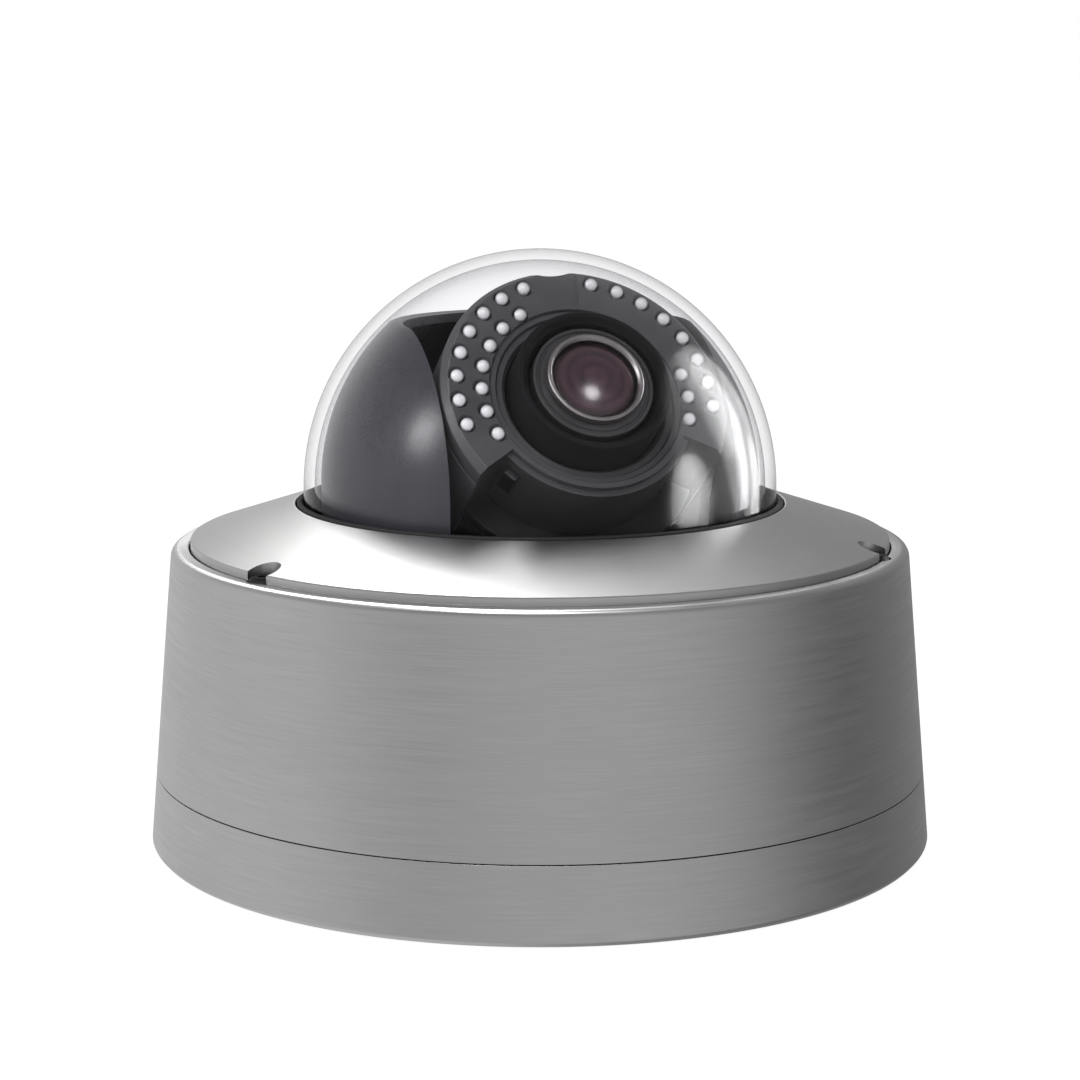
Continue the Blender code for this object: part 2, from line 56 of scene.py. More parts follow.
PAN_M = Matrix.Rotation(math.radians(PAN), 4, "Z")
TILT_M = PAN_M @ Matrix.Translation((0, 0, PIVOT_Z * MM)) @ Matrix.Rotation(math.radians(90 - TILT), 4, "X")
ROLL_M = TILT_M @ Matrix.Rotation(math.radians(ROLL), 4, "Z")
WORLD_M = Matrix.Identity(4)


def wall_r(z):
    return BASE_R + 0.1 - DRAFT * z


def polar(r, deg):
    a = math.radians(deg)
    return r * math.cos(a), r * math.sin(a)


# ------------------------------------------------------- node-tree helpers
class Tree:
    """A small wrapper that keeps node trees readable."""

    def __init__(self, name):
        self.mat = bpy.data.materials.new(name)
        self.mat.use_nodes = True
        self.nt = self.mat.node_tree
        self.bsdf = self.nt.nodes["Principled BSDF"]
        self.out = self.nt.nodes["Material Output"]

    def add(self, kind, **props):
        n = self.nt.nodes.new(kind)
        for k, v in props.items():
            setattr(n, k, v)
        return n

    def link(self, a, b):
        self.nt.links.new(a, b)

    def math(self, op, a, b=None, clamp=False):
        n = self.add("ShaderNodeMath", operation=op, use_clamp=clamp)
        for i, v in enumerate((a, b)):
            if v is None:
                continue
            if isinstance(v, (int, float)):
                n.inputs[i].default_value = v
            else:
                self.link(v, n.inputs[i])
        return n.outputs[0]

    def noise(self, vec, scale, detail=2.0, rough=0.5):
        n = self.add("ShaderNodeTexNoise")
        n.inputs["Scale"].default_value = scale
        n.inputs["Detail"].default_value = detail
        n.inputs["Roughness"].default_value = rough
        if vec is not None:
            self.link(vec, n.inputs["Vector"])
        return n.outputs["Fac"]

    def coords(self):
        return self.add("ShaderNodeTexCoord").outputs["Object"]

    def span(self, v, lo, hi, a=0.0, b=1.0):
        n = self.add("ShaderNodeMapRange")
        self.link(v, n.inputs["Value"])
        for k, x in (("From Min", a), ("From Max", b), ("To Min", lo), ("To Max", hi)):
            n.inputs[k].default_value = x
        return n.outputs["Result"]

    def colours(self, fac, c0, c1):
        n = self.add("ShaderNodeMix", data_type="RGBA")
        self.link(fac, n.inputs[0])
        n.inputs[6].default_value = (*c0, 1)
        n.inputs[7].default_value = (*c1, 1)
        return n.outputs[2]

    def ramp(self, fac, stops):
        n = self.add("ShaderNodeValToRGB")
        el = n.color_ramp.elements
        while len(el) < len(stops):
            el.new(0.5)
        for e, (p, c) in zip(el, stops):
            e.position = p
            e.color = (*c, 1)
        self.link(fac, n.inputs[0])
        return n.outputs[0]

    def bump(self, height, strength, distance, normal=None):
        n = self.add("ShaderNodeBump")
        n.inputs["Strength"].default_value = strength
        n.inputs["Distance"].default_value = distance
        self.link(height, n.inputs["Height"])
        if normal is not None:
            self.link(normal, n.inputs["Normal"])
        self.link(n.outputs[0], self.bsdf.inputs["Normal"])
        return n.outputs[0]

    def set(self, **kw):
        for k, v in kw.items():
            self.bsdf.inputs[k.replace("_", " ")].default_value = v


def steel(name, light=(0.60, 0.60, 0.597), dark=(0.52, 0.52, 0.517), rough=(0.25, 0.35),
          aniso=0.65, line=4200.0, bump=0.08):
    """Satin stainless with the brushing running round the axis."""
    t = Tree(name)
    co = t.coords()
    sep = t.add("ShaderNodeSeparateXYZ")
    t.link(co, sep.inputs[0])
    x, y, z = sep.outputs
    r = t.math("SQRT", t.math("ADD", t.math("MULTIPLY", x, x), t.math("MULTIPLY", y, y)))
    across = t.math("SUBTRACT", z, r)

    def brushed(length, pitch, detail):
        c = t.add("ShaderNodeCombineXYZ")
        t.link(t.math("MULTIPLY", x, length), c.inputs[0])
        t.link(t.math("MULTIPLY", y, length), c.inputs[1])
        t.link(t.math("MULTIPLY", across, pitch), c.inputs[2])
        return t.noise(c.outputs[0], 1.0, detail, 0.6)

    fine = brushed(70.0, line, 2.0)
    coarse = brushed(28.0, 620.0, 3.0)
    patch = t.noise(co, 34.0, 3.0, 0.55)
    mix = t.math("ADD", t.math("MULTIPLY", fine, 0.72), t.math("MULTIPLY", coarse, 0.28))
    t.link(t.colours(t.span(mix, 0.0, 1.0, 0.32, 0.68), dark, light), t.bsdf.inputs["Base Color"])
    rr = t.math("ADD", t.span(coarse, rough[0], rough[1], 0.3, 0.7), t.span(patch, -0.03, 0.05, 0.3, 0.7))
    t.link(rr, t.bsdf.inputs["Roughness"])
    t.bump(mix, bump, 0.00004)
    t.set(Metallic=1.0, Anisotropic=aniso)
    tan = t.add("ShaderNodeTangent", direction_type="RADIAL", axis="Z")
    t.link(tan.outputs[0], t.bsdf.inputs["Tangent"])
    return t.mat


def plastic(name, base, rough=(0.38, 0.5), grain=2600.0, depth=0.00003, strength=0.35, coat=0.0, spec=0.5):
    """Moulded plastic with a spark-eroded grain and a little handling shine."""
    t = Tree(name)
    co = t.coords()
    g = t.noise(co, grain, 2.0, 0.6)
    smear = t.noise(co, 45.0, 4.0, 0.6)
    hi = tuple(min(1.0, c * 1.35 + 0.004) for c in base)
    t.link(t.colours(t.span(smear, 0.0, 1.0, 0.35, 0.7), base, hi), t.bsdf.inputs["Base Color"])
    t.link(t.math("ADD", t.span(smear, rough[0], rough[1], 0.35, 0.7), t.span(g, -0.03, 0.03, 0.3, 0.7)),
           t.bsdf.inputs["Roughness"])
    t.bump(g, strength, depth)
    t.bsdf.inputs["Specular IOR Level"].default_value = spec
    t.bsdf.inputs["Coat Weight"].default_value = coat
    t.bsdf.inputs["Coat Roughness"].default_value = 0.12
    return t.mat


def rubber(name):
    t = Tree(name)
    co = t.coords()
    g = t.noise(co, 1800.0, 4.0, 0.65)
    dust = t.noise(co, 90.0, 5.0, 0.7)
    t.link(t.ramp(dust, [(0.35, (0.010, 0.010, 0.011)), (0.62, (0.017, 0.017, 0.018)), (0.85, (0.05, 0.048, 0.045))]),
           t.bsdf.inputs["Base Color"])
    t.link(t.span(g, 0.55, 0.8, 0.3, 0.7), t.bsdf.inputs["Roughness"])
    t.bump(g, 0.5, 0.00005)
    return t.mat


def plated(name, base=(0.58, 0.585, 0.60), rough=(0.28, 0.45)):
    """Zinc plate: faint crystal mottle."""
    t = Tree(name)
    co = t.coords()
    v = t.add("ShaderNodeTexVoronoi")
    v.inputs["Scale"].default_value = 900.0
    t.link(co, v.inputs["Vector"])
    m = t.noise(co, 420.0, 4.0, 0.6)
    t.link(t.colours(t.span(m, 0.0, 1.0, 0.35, 0.68), tuple(c * 0.8 for c in base), base), t.bsdf.inputs["Base Color"])
    t.link(t.math("ADD", t.span(m, rough[0], rough[1], 0.35, 0.68), t.span(v.outputs["Distance"], -0.03, 0.03)),
           t.bsdf.inputs["Roughness"])
    t.bump(m, 0.12, 0.00003)
    t.set(Metallic=1.0)
    return t.mat


def board(name, base, trace):
    """Solder resist over copper: square-cornered tracks show faintly through it."""
    t = Tree(name)
    co = t.coords()
    b = t.add("ShaderNodeTexBrick")
    b.inputs["Scale"].default_value = 260.0
    b.inputs["Mortar Size"].default_value = 0.06
    b.inputs["Color1"].default_value = (0, 0, 0, 1)
    b.inputs["Color2"].default_value = (0.25, 0.25, 0.25, 1)
    b.inputs["Mortar"].default_value = (1, 1, 1, 1)
    t.link(co, b.inputs["Vector"])
    n = t.noise(co, 160.0, 2.0)
    f = t.math("MULTIPLY", b.outputs["Color"], t.span(n, 0.0, 1.0, 0.45, 0.55), True)
    t.link(t.colours(f, base, trace), t.bsdf.inputs["Base Color"])
    t.link(t.span(n, 0.32, 0.46, 0.3, 0.7), t.bsdf.inputs["Roughness"])
    t.bump(f, 0.4, 0.00003)
    return t.mat


def clear_dome(name):
    """Clear polycarbonate: mostly see-through and more mirror-like at the limb, with painted shade greying the
    see-through part towards the limb.
    """
    t = Tree(name)
    co = t.coords()
    t.nt.nodes.remove(t.bsdf)
    lw = t.add("ShaderNodeLayerWeight")
    lw.inputs["Blend"].default_value = 0.5
    facing = lw.outputs["Facing"]
    # painted shade: the see-through colour falls from near white to grey at grazing angles, drawing a dark line at the
    # limb
    tint = t.ramp(facing, [(0.0, (0.985, 0.985, 0.99)), (0.70, (0.98, 0.98, 0.985)),
                           (0.90, (0.91, 0.91, 0.92)), (1.0, (0.42, 0.42, 0.44))])
    tr = t.add("ShaderNodeBsdfTransparent")
    t.link(tint, tr.inputs["Color"])
    gl = t.add("ShaderNodeBsdfGlossy")
    smear = t.noise(co, 60.0, 4.0, 0.6)
    t.link(t.span(smear, 0.10, 0.16, 0.35, 0.7), gl.inputs["Roughness"])
    gl.inputs["Color"].default_value = (1, 1, 1, 1)
    sheen = t.math("ADD", t.math("MULTIPLY", t.math("POWER", facing, 6.0), 0.9), 0.008)
    mx = t.add("ShaderNodeMixShader")
    t.link(sheen, mx.inputs[0])
    t.link(tr.outputs[0], mx.inputs[1])
    t.link(gl.outputs[0], mx.inputs[2])
    t.link(mx.outputs[0], t.out.inputs["Surface"])
    return t.mat


def axis_distance(t, m):
    """Distance from the optical axis, in metres, at rest."""
    co = t.coords()
    inv = m.inverted()
    parts = []
    for row in (0, 1):
        d = t.add("ShaderNodeVectorMath", operation="DOT_PRODUCT")
        t.link(co, d.inputs[0])
        d.inputs[1].default_value = (inv[row][0], inv[row][1], inv[row][2])
        parts.append(t.math("ADD", d.outputs["Value"], inv[row][3]))
    return t.math("SQRT", t.math("ADD", t.math("MULTIPLY", parts[0], parts[0]),
                                 t.math("MULTIPLY", parts[1], parts[1])))


def glass_with_painted_rings(name):
    """Front element: maroon coating, with painted rings and a painted dark pupil standing in for the reflections and
    shade inside the lens.
    """
    t = Tree(name)
    d = t.math("DIVIDE", axis_distance(t, ROLL_M), 0.0092)
    # painted reflection and shade: lighter and darker rings by distance from the optical axis, falling to near black at
    # the rim
    col = t.ramp(d, [(0.0, (0.062, 0.030, 0.040)), (0.22, (0.070, 0.036, 0.047)), (0.34, (0.040, 0.020, 0.027)),
                     (0.52, (0.068, 0.036, 0.047)), (0.66, (0.038, 0.019, 0.026)), (0.80, (0.080, 0.045, 0.055)),
                     (0.92, (0.030, 0.015, 0.020)), (1.0, (0.012, 0.006, 0.009))])
    n = t.noise(t.coords(), 420.0, 3.0)
    m = t.add("ShaderNodeMix", data_type="RGBA", blend_type="MULTIPLY")
    m.inputs[0].default_value = 1.0
    t.link(col, m.inputs[6])
    t.link(t.ramp(n, [(0.3, (0.78, 0.78, 0.80)), (0.7, (1.15, 1.08, 1.1))]), m.inputs[7])
    t.link(m.outputs[2], t.bsdf.inputs["Base Color"])
    t.link(t.span(n, 0.16, 0.24, 0.3, 0.7), t.bsdf.inputs["Roughness"])
    t.set(IOR=1.55)
    t.bsdf.inputs["Coat Weight"].default_value = 0.5
    t.bsdf.inputs["Coat Roughness"].default_value = 0.14
    t.bsdf.inputs["Coat Tint"].default_value = (0.95, 0.80, 0.90, 1)
    return t.mat


def lamp_with_painted_shade(name):
    """Water-clear lamp: bright cup in the middle, partly its silvery reflector and partly painted highlight, with
    painted shade on the darker glassy sides.
    """
    t = Tree(name)
    lw = t.add("ShaderNodeLayerWeight")
    lw.inputs["Blend"].default_value = 0.5
    n = t.noise(t.coords(), 900.0, 2.0)
    # painted light: the colour runs from near white where the lamp faces the view to dark at grazing angles
    f = t.math("ADD", lw.outputs["Facing"], t.span(n, -0.06, 0.06, 0.3, 0.7), True)
    t.link(t.ramp(f, [(0.0, (0.95, 0.95, 0.97)), (0.30, (0.90, 0.90, 0.92)), (0.55, (0.42, 0.42, 0.45)), (0.9, (0.10, 0.10, 0.12))]),
           t.bsdf.inputs["Base Color"])
    t.link(t.span(n, 0.10, 0.22, 0.3, 0.7), t.bsdf.inputs["Roughness"])
    t.set(IOR=1.55)
    t.bsdf.inputs["Coat Weight"].default_value = 0.6
    t.bsdf.inputs["Coat Roughness"].default_value = 0.05
    return t.mat


M = {
    "steel": steel("brushed_stainless"),
    "steel_cover": steel("brushed_stainless_cover", light=(0.60, 0.60, 0.597), dark=(0.55, 0.55, 0.547), rough=(0.33, 0.38), aniso=0.45, bump=0.04),
    "black": plastic("black_moulding", (0.020, 0.020, 0.022), spec=0.35),
    "barrel": plastic("barrel_moulding", (0.040, 0.040, 0.042), rough=(0.35, 0.45), grain=2400.0),
    "face": plastic("turret_moulding", (0.045, 0.045, 0.048), rough=(0.40, 0.48), grain=2200.0),
    # painted light: the skirt is the same black moulding as the turret face, given a copy about twice as light so the
    # shaded skirt reads lit
    "skirt": plastic("skirt_moulding_lit_copy", (0.085, 0.083, 0.092), rough=(0.34, 0.42), grain=2400.0, depth=0.00001, strength=0.10),
    "gloss": plastic("cheek_moulding", (0.036, 0.035, 0.044), rough=(0.27, 0.34), grain=2400.0, depth=0.00001, strength=0.10),
    "rubber": rubber("black_rubber_grain"),
    # partly real black, partly painted shade: the hood is made darker than the other black mouldings, with little
    # shine, for the deep shade round the lens
    "hood": plastic("hood_black_painted_shade", (0.006, 0.006, 0.007), rough=(0.7, 0.85), grain=3200.0, depth=0.00005, strength=0.6, spec=0.15),
    "zinc": plated("zinc_plate"),
    "dark_screw": plated("dark_screw_steel", (0.16, 0.16, 0.17), (0.3, 0.45)),
    # partly real, partly painted shade: the cover screws may be black, and are made near black so the counterbores read
    # as dark as the shade inside them
    "black_screw": plated("black_screw_and_shade", (0.035, 0.035, 0.037), (0.42, 0.6)),
    "bezel": plated("satin_bezel", (0.42, 0.395, 0.40), (0.30, 0.40)),
    "green": board("green_board", (0.012, 0.10, 0.035), (0.05, 0.22, 0.09)),
    "led_board": board("black_board", (0.012, 0.012, 0.014), (0.05, 0.05, 0.055)),
    "terminal": plastic("terminal_green_moulding", (0.03, 0.30, 0.10)),
    "button": plastic("button_white_moulding", (0.72, 0.72, 0.70)),
    "dome": clear_dome("clear_polycarbonate"),
    "glass": glass_with_painted_rings("coated_front_element_painted_rings"),
    "lamp": lamp_with_painted_shade("clear_lamp_painted_shade"),
}


# ------------------------------------------------------------ solid makers
def rounded(pts):
    """Replace every (r, z, radius) corner of a closed outline by an arc."""
    out = []
    n = len(pts)
    for i, p in enumerate(pts):
        rad = p[2] if len(p) > 2 else 0.0
        c = Vector(p[:2])
        if rad <= 0:
            out.append((c.x, c.y))
            continue
        a = (Vector(pts[i - 1][:2]) - c)
        b = (Vector(pts[(i + 1) % n][:2]) - c)
        la, lb = a.length, b.length
        a.normalize()
        b.normalize()
        ang = math.acos(max(-1.0, min(1.0, a.dot(b))))
        cutback = min(rad / math.tan(ang / 2), la * 0.48, lb * 0.48)
        r = cutback * math.tan(ang / 2)
        mid = (a + b).normalized() * (r / math.sin(ang / 2))
        centre = c + mid
        p0, p1 = c + a * cutback, c + b * cutback
        v0, v1 = p0 - centre, p1 - centre
        turn = math.atan2(v0.x * v1.y - v0.y * v1.x, v0.dot(v1))
        steps = 4 if r < 1.2 else 10
        for k in range(steps + 1):
            t = turn * k / steps
            out.append((centre.x + v0.x * math.cos(t) - v0.y * math.sin(t),
                        centre.y + v0.x * math.sin(t) + v0.y * math.cos(t)))
    return out


def put(bm, name):
    bmesh.ops.recalc_face_normals(bm, faces=bm.faces[:])
    if bm.calc_volume(signed=True) < 0:
        bmesh.ops.reverse_faces(bm, faces=bm.faces[:])
    me = bpy.data.meshes.new(name)
    bm.to_mesh(me)
    bm.free()
    ob = bpy.data.objects.new(name, me)
    bpy.context.scene.collection.objects.link(ob)
    return ob


def turned_into(bm, prof, seg, mat=WORLD_M, phase=0.0):
    rings = []
    for r, z in prof:
        if r < 1e-6:
            rings.append([bm.verts.new(mat @ Vector((0, 0, z * MM)))])
            continue
        rings.append([bm.verts.new(mat @ Vector((r * MM * math.cos(2 * math.pi * j / seg + phase),
                                                 r * MM * math.sin(2 * math.pi * j / seg + phase), z * MM)))
                      for j in range(seg)])
    n = len(prof)
    for k in range(n):
        a, b = rings[k], rings[(k + 1) % n]
        if len(a) == 1 and len(b) == 1:
            continue
        for j in range(seg):
            i = (j + 1) % seg
            if len(a) == 1:
                bm.faces.new((a[0], b[j], b[i]))
            elif len(b) == 1:
                bm.faces.new((a[j], b[0], a[i]))
            else:
                bm.faces.new((a[j], b[j], b[i], a[i]))


def turned(name, prof, seg=128, mat=WORLD_M):
    bm = bmesh.new()
    turned_into(bm, rounded(prof), seg, mat)
    return put(bm, name)


def rod(r, z0, z1, soft=0.0):
    return [(0, z0), (r, z0, soft), (r, z1, soft), (0, z1)]


def ring(r0, r1, z0, z1, soft=0.0):
    return [(r0, z0, soft), (r1, z0, soft), (r1, z1, soft), (r0, z1, soft)]


def rods(name, items, seg=24, mat=WORLD_M):
    bm = bmesh.new()
    for x, y, r, z0, z1 in items:
        turned_into(bm, rod_pts(r, z0, z1), seg, mat @ Matrix.Translation((x * MM, y * MM, 0)), math.pi / seg)
    return put(bm, name)


def rod_pts(r, z0, z1):
    return [(0, z0), (r, z0), (r, z1), (0, z1)]


def block(name, x0, x1, y0, y1, z0, z1, mat=WORLD_M):
    bm = bmesh.new()
    bmesh.ops.create_cube(bm, size=1.0)
    for v in bm.verts:
        v.co = mat @ (Vector(((x0 + x1) / 2 + v.co.x * (x1 - x0), (y0 + y1) / 2 + v.co.y * (y1 - y0),
                              (z0 + z1) / 2 + v.co.z * (z1 - z0))) * MM)
    return put(bm, name)


def prism(name, pts, z0, z1, mat=WORLD_M):
    bm = bmesh.new()
    low = [bm.verts.new((x * MM, y * MM, z0 * MM)) for x, y in pts]
    f = bm.faces.new(low)
    out = bmesh.ops.extrude_face_region(bm, geom=[f])
    for v in (g for g in out["geom"] if isinstance(g, bmesh.types.BMVert)):
        v.co.z = z1 * MM
    bmesh.ops.transform(bm, matrix=mat, verts=bm.verts[:])
    return put(bm, name)


def sector(r0, r1, a0, a1, steps):
    out = [polar(r1, a0 + (a1 - a0) * k / steps) for k in range(steps + 1)]
    return out + [polar(r0, a0 + (a1 - a0) * k / steps) for k in range(steps, -1, -1)]


def combine(target, other, op):
    m = target.modifiers.new("join", "BOOLEAN")
    m.operation = op
    m.solver = "EXACT"
    m.object = other
    bpy.context.view_layer.update()
    dg = bpy.context.evaluated_depsgraph_get()
    me = bpy.data.meshes.new_from_object(target.evaluated_get(dg))
    target.modifiers.clear()
    target.data = me
    bpy.data.objects.remove(other, do_unlink=True)
    return target


def cut(target, other):
    return combine(target, other, "DIFFERENCE")


def join(target, other):
    return combine(target, other, "UNION")


def soften(obj, width=0.3, segments=2, angle=40):
    """Break the sharp edges left by the cuts."""
    b = obj.modifiers.new("edge", "BEVEL")
    b.width = width * MM
    b.segments = segments
    b.limit_method = "ANGLE"
    b.angle_limit = math.radians(angle)
    b.harden_normals = False
    return obj


def dress(obj, body, slot, mat, *nodes, sharp=34):
    me = obj.data
    me.materials.clear()
    me.materials.append(mat)
    for p in me.polygons:
        p.material_index = 0
    me.shade_smooth()
    me.set_sharp_from_angle(angle=math.radians(sharp))
    w = obj.modifiers.new("normals", "WEIGHTED_NORMAL")
    w.keep_sharp = True
    w.weight = 60
    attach(obj, body)
    if nodes:
        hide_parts(*nodes)
    return obj


def along(axis, dist=0.0):
    q = Vector((0, 0, 1)).rotation_difference(Vector(axis).normalized())
    return q.to_matrix().to_4x4() @ Matrix.Translation((0, 0, dist * MM))


def at(x, y, z=0.0):
    return Matrix.Translation((x * MM, y * MM, z * MM))


# ============================================================== camera first
cam = bpy.data.cameras.new("view")
cam.lens = 89.96
cam.sensor_width = 36.0
cam_ob = bpy.data.objects.new("view", cam)
cam_ob.location = (0.0, -0.6061, 0.1717)
cam_ob.rotation_euler = (math.radians(80.26), 0, 0)
bpy.context.scene.collection.objects.link(cam_ob)
bpy.context.scene.camera = cam_ob

# ============================================================ fixed housing
POSTS = [polar(62.0, a) for a in (30, 150, 270)]
BASE_SCREWS = [polar(78.8, a) for a in (40, 160, 280)]
MOUNT_HOLES = [(46, 46), (-46, 46), (-46, -46), (46, -46)]
BOARD_POSTS = [(43, 29), (-43, 29), (-43, -29), (43, -29)]
POWER_POSTS = [(26, 44), (-26, 44), (26, 64), (-26, 64)]

base = turned("base_casting", [
    (13.3, 0, 0.3), (BASE_R - 1.1, 0, 0.9), (BASE_R, 1.2, 1.0), (wall_r(SEAM_Z), SEAM_Z, 0.14), (86.7, SEAM_Z, 0.1),
    (86.7, 15.0), (84.2, 15.0, 0.2), (84.2, 4.0, 1.0), (13.3, 4.0, 0.3)], 192)
join(base, rods("posts", [(x, y, 4.5, 3, 34.7) for x, y in POSTS] + [(x, y, 3.0, 3, 17.7) for x, y in BOARD_POSTS]
                + [(x, y, 3.0, 3, 13.7) for x, y in POWER_POSTS]))
cut(base, rods("holes", [(x, y, 2.5, -1, 6) for x, y in MOUNT_HOLES] + [(x, y, 1.9, -1, 6) for x, y in BASE_SCREWS]
               + [(x, y, 1.7, 26, 36) for x, y in POSTS]))
cut(base, rods("sinks", [(x, y, 3.5, -1, 2.4) for x, y in BASE_SCREWS]))
dress(base, "housing", "stainless", M["steel"], "mounting_base")

dress(turned("base_seal", ring(84.5, 86.1, 15.3, 16.8, 0.5), 160), "housing", "black_rubber", M["rubber"], "base_gasket")

housing = turned("housing_shell", [
    (84.2, SEAM_Z + 0.2, 0.1), (wall_r(SEAM_Z + 0.2), SEAM_Z + 0.2, 0.14), (wall_r(RIM_Z), RIM_Z, 2.3), (79.35, RIM_Z, 0.3), (79.35, 63.5), (71.5, 63.5, 0.3), (71.5, 60.5, 0.3),
    (wall_r(57) - 3.2, 57.0, 2.0), (wall_r(20) - 3.2, 20.0)], 192)
join(housing, rods("bosses", [(x, y, 4.4, 4.3, 58.6) for x, y in BASE_SCREWS], 32))
back = at(0, 0, 38.0) @ along((0, 1, 0))
join(housing, turned("conduit_boss", rod(12.0, 73.0, 84.4), 48, back))
cut(housing, turned("conduit_hole", rod(9.0, 70.0, 90.0), 64, back))
cut(housing, rods("pilots", [(x, y, 1.7, 3, 16) for x, y in BASE_SCREWS]
                  + [(*polar(SCREW_R, a), 1.7, 58, 65) for a in SCREW_ANGLES]))
cut(housing, rods("scallops", [(*polar(SCREW_R, a), HEAD_BORE, 65.6, 70) for a in SCREW_ANGLES], 40))
dress(housing, "housing", "stainless", M["steel"], "housing_body")

for k, (x, y) in enumerate(BASE_SCREWS, 1):
    s = turned("base_screw_fine_%d" % k, [(0, 0.3), (3.0, 0.3, 0.3), (3.0, 2.1, 0.2), (1.4, 2.1), (1.4, 14, 0.3), (0, 14)], 32, at(x, y))
    cut(s, turned("key", rod(1.3, 0.0, 1.5), 6, at(x, y)))
    dress(s, "housing", "screw_steel", M["dark_screw"], "base_screw_%d" % k)

dress(turned("grommet_fine", [(8.0, 0.4, 0.4), (12.9, 0.4, 0.4), (12.9, 4.3, 0.2), (15.5, 4.3, 0.5), (15.5, 6.3, 0.6),
                              (9.0, 8.5, 0.6), (8.0, 8.5, 0.4)], 64), "housing", "black_rubber", M["rubber"], "cable_grommet")

plug = turned("conduit_plug_fine", [(0, 72.5), (8.6, 72.5), (8.6, 85.4, 0.6), (0, 85.4)], 64, back)
cut(plug, turned("plug_key", rod(4.2, 81.0, 88.0), 6, back))
cut(plug, turned("plug_groove", ring(7.2, 7.6, 85.1, 86.0), 64, back))
dress(soften(plug, 0.2), "housing", "stainless", M["steel"], "conduit_plug")

chassis = turned("chassis_fine", ring(12.6, 70.0, 35.0, 37.0, 0.4), 128)
cut(chassis, rods("chassis_holes", [(x, y, 1.7, 34, 38) for x, y in POSTS]))
cut(chassis, block("flex_slot", -9, 9, 24, 34, 34, 38))
dress(chassis, "housing", "black_plastic", M["black"], "chassis_plate")
for k, (x, y) in enumerate(POSTS, 1):
    s = turned("chassis_screw_fine_%d" % k, [(0, 27), (1.4, 27), (1.4, 37.3), (3.0, 37.3, 0.2), (3.0, 39.3, 0.8), (0, 39.3)], 32, at(x, y))
    cut(s, block("slot_a", x - 1.7, x + 1.7, y - 0.35, y + 0.35, 38.4, 40))
    cut(s, block("slot_b", x - 0.35, x + 0.35, y - 1.7, y + 1.7, 38.4, 40))
    dress(s, "housing", "zinc_steel", M["zinc"], "chassis_screw_%d" % k)
dress(turned("pan_ring_fine", ring(40.0, 48.0, 37.3, 41.7, 0.4), 128), "housing", "black_plastic", M["black"], "pan_ring")

# ============================================================== cover body
cover = turned("cover_ring", [
    (72.0, 64.6, 0.3), (COVER_R, 64.6, 0.3), (COVER_R, COVER_EDGE_Z, 0.45), (COVER_IN_R, COVER_IN_Z + 0.13, 0.4),
    (COVER_IN_R, 73.6), (61.0, 73.6), (72.0, 69.2)], 192)
HOLD = [polar(64.0, a) for a in (0, 120, 240)]
join(cover, rods("cover_bosses", [(x, y, 3.0, 69.9, 72.6) for x, y in HOLD], 32))
cut(cover, rods("cover_holes", [(x, y, 1.5, 69, 71.9) for x, y in HOLD]
                + [(*polar(SCREW_R, a), 1.7, 63, 67) for a in SCREW_ANGLES]))
cut(cover, rods("counterbores", [(*polar(SCREW_R, a), HEAD_BORE, 65.6, 76) for a in SCREW_ANGLES], 48))
dress(cover, "cover", "stainless", M["steel_cover"], "dome_cover")
for k, a in enumerate(SCREW_ANGLES, 1):
    x, y = polar(SCREW_R, a)
    s = turned("cover_screw_fine_%d" % k, [(0, 59.5), (1.3, 59.5), (1.3, 65.9), (3.3, 65.9, 0.2), (3.3, 67.7, 0.3), (2.6, 68.7, 0.5), (0, 68.7)],
               48, at(x, y))
    cut(s, turned("key", rod(1.35, 67.4, 70), 6, at(x, y)))
    # near-black screw heads carry part of the shade in the counterbores
    dress(s, "cover", "screw_steel", M["black_screw"], "cover_screw_%d" % k)
dress(turned("cover_seal", ring(72.3, 75.0, 63.8, 64.3, 0.2), 128), "cover", "black_rubber", M["rubber"], "cover_gasket")

prof = [(51.0, 69.9), (60.5, 69.9), (60.5, 72.4), (BUBBLE_R, 72.4)]
STEPS = 44
for k in range(STEPS):
    a = math.pi / 2 * k / STEPS
    prof.append((BUBBLE_R * math.cos(a), BUBBLE_Z + BUBBLE_R * math.sin(a)))
prof += [(0, BUBBLE_Z + BUBBLE_R), (0, BUBBLE_Z + BUBBLE_R_IN)]
for k in range(STEPS - 1, -1, -1):
    a = math.pi / 2 * k / STEPS
    prof.append((BUBBLE_R_IN * math.cos(a), BUBBLE_Z + BUBBLE_R_IN * math.sin(a)))
bubble_ob = dress(turned("bubble_clear", prof, 144), "cover", "clear_dome", M["dome"], "bubble")
dress(turned("bubble_seal", [(53.8, 72.7), (60.3, 72.7), (60.3, 73.3), (55.0, 73.3), (55.0, 77.6, 0.5), (53.8, 77.6, 0.5)], 160),
      "cover", "black_rubber", M["rubber"], "bubble_gasket")
keep = turned("retainer_fine", ring(53.9, 67.5, 67.2, 69.6, 0.3), 128)
cut(keep, rods("retainer_holes", [(x, y, 1.5, 66, 71) for x, y in HOLD]))
dress(keep, "cover", "black_plastic", M["black"], "bubble_retainer")
for k, (x, y) in enumerate(HOLD, 1):
    s = turned("retainer_screw_fine_%d" % k, [(0, 65.0), (2.6, 65.0, 0.5), (2.6, 66.9, 0.2), (1.2, 66.9), (1.2, 71.4), (0, 71.4)], 32, at(x, y))
    cut(s, block("slot_a", x - 1.6, x + 1.6, y - 0.35, y + 0.35, 64, 65.9))
    cut(s, block("slot_b", x - 0.35, x + 0.35, y - 1.6, y + 1.6, 64, 65.9))
    dress(s, "cover", "zinc_steel", M["zinc"], "retainer_screw_%d" % k)

